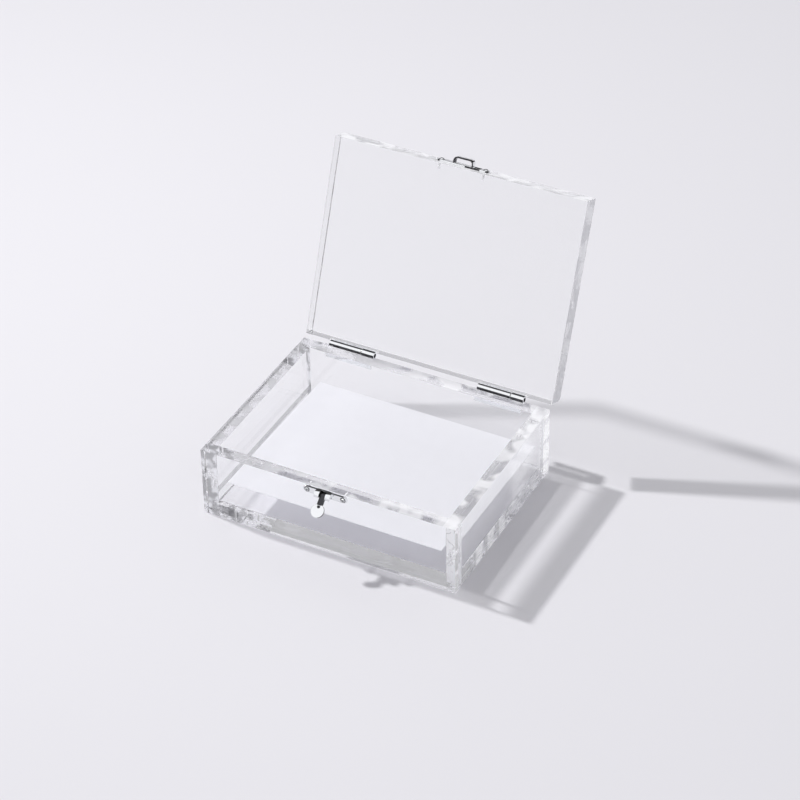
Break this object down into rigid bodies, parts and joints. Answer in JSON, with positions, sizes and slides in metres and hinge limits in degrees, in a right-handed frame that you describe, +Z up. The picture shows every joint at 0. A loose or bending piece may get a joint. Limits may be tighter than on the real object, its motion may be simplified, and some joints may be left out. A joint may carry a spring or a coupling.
{
  "type": "acrylic storage box with lid",
  "caption": "Clear thick-walled acrylic keepsake box, lid leaning open on chrome tube hinges, with a small chrome catch and a blank white card inside.",
  "frame": {"origin": "middle of the box's underside, on the surface it stands on", "axes": "+X to the right along the hinges, seen from the catch; +Y from the catch to the hinges; +Z up"},
  "size_m": [0.165, 0.197, 0.1679],
  "materials": {
    "clear_acrylic": "polished clear acrylic",
    "chrome_plate": "bright chrome plating",
    "chrome_pin": "bright nickel plating",
    "white_card": "smooth matt white card"
  },
  "bodies": {
    "box": {"base_panel": "clear_acrylic", "front_wall": "clear_acrylic", "back_wall": "clear_acrylic", "left_wall": "clear_acrylic", "right_wall": "clear_acrylic", "hinge_box_leaf_left": "chrome_plate", "hinge_pin_left": "chrome_pin", "hinge_box_leaf_right": "chrome_plate", "hinge_pin_right": "chrome_pin", "catch_plate": "chrome_plate", "catch_pin": "chrome_pin", "catch_screws": "chrome_pin", "card": "white_card"},
    "lid": {"lid_panel": "clear_acrylic", "hinge_lid_leaf_left": "chrome_plate", "hinge_lid_leaf_right": "chrome_plate", "keeper_plate": "chrome_plate", "keeper_screws": "chrome_pin"},
    "lever": {"catch_lever": "chrome_plate"}
  },
  "joints": [
    {"name": "lid_hinge", "type": "hinge", "parent": "box", "child": "lid", "pos_m": [0, 0.0641, 0.04615], "axis": [1, 0, 0], "range_deg": [0, 110.5]},
    {"name": "lever_pivot", "type": "hinge", "parent": "box", "child": "lever", "pos_m": [0, -0.0651, 0.043], "axis": [-1, 0, 0], "range_deg": [0, 130]}
  ]
}
